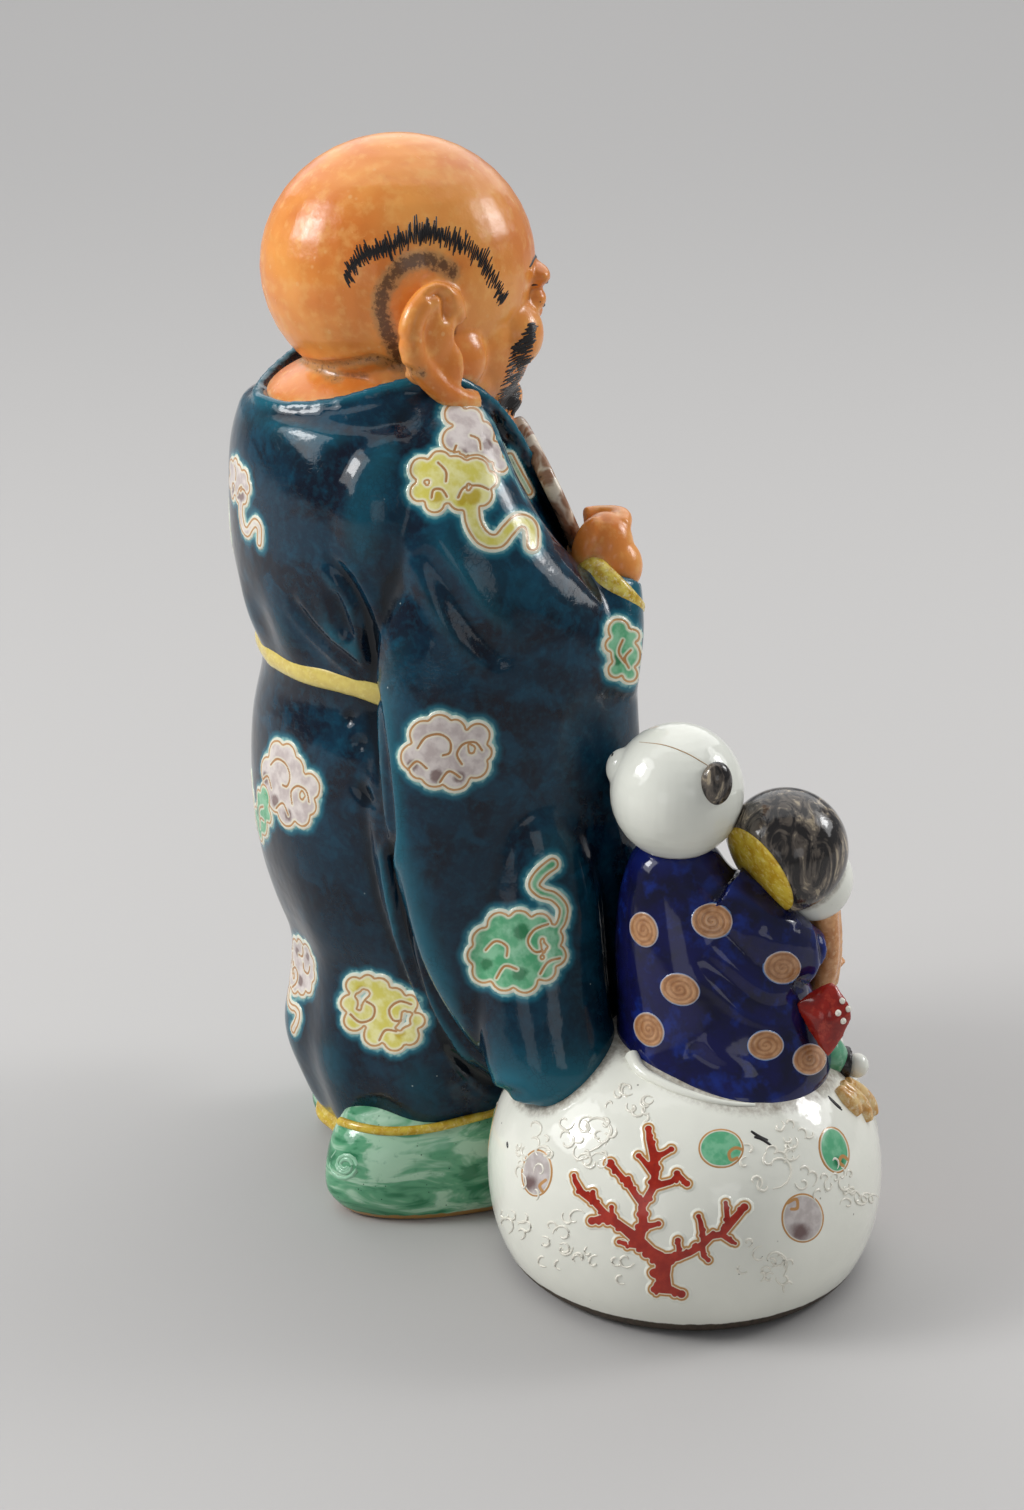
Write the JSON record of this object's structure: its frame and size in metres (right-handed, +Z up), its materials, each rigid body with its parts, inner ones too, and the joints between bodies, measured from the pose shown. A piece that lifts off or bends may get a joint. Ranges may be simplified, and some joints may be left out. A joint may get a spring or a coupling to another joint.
{
  "type": "hotei figure",
  "caption": "Glazed porcelain figure of Hotei standing in a long sleeved robe with a round fan, with children riding on his sack at his side, on a flat underside.",
  "frame": {"origin": "on the flat underside, below the middle of Hotei's robe", "axes": "+Z up, Hotei faces -Y, and the sack and the children are on his right, towards -X"},
  "size_m": [0.2149, 0.1502, 0.3003],
  "materials": {
    "glazed_porcelain": "glossy crackled overglaze enamel, mostly deep teal, with orange skin and a white sack"
  },
  "bodies": {
    "root": {"hotei_group": "glazed_porcelain"}
  },
  "joints": []
}
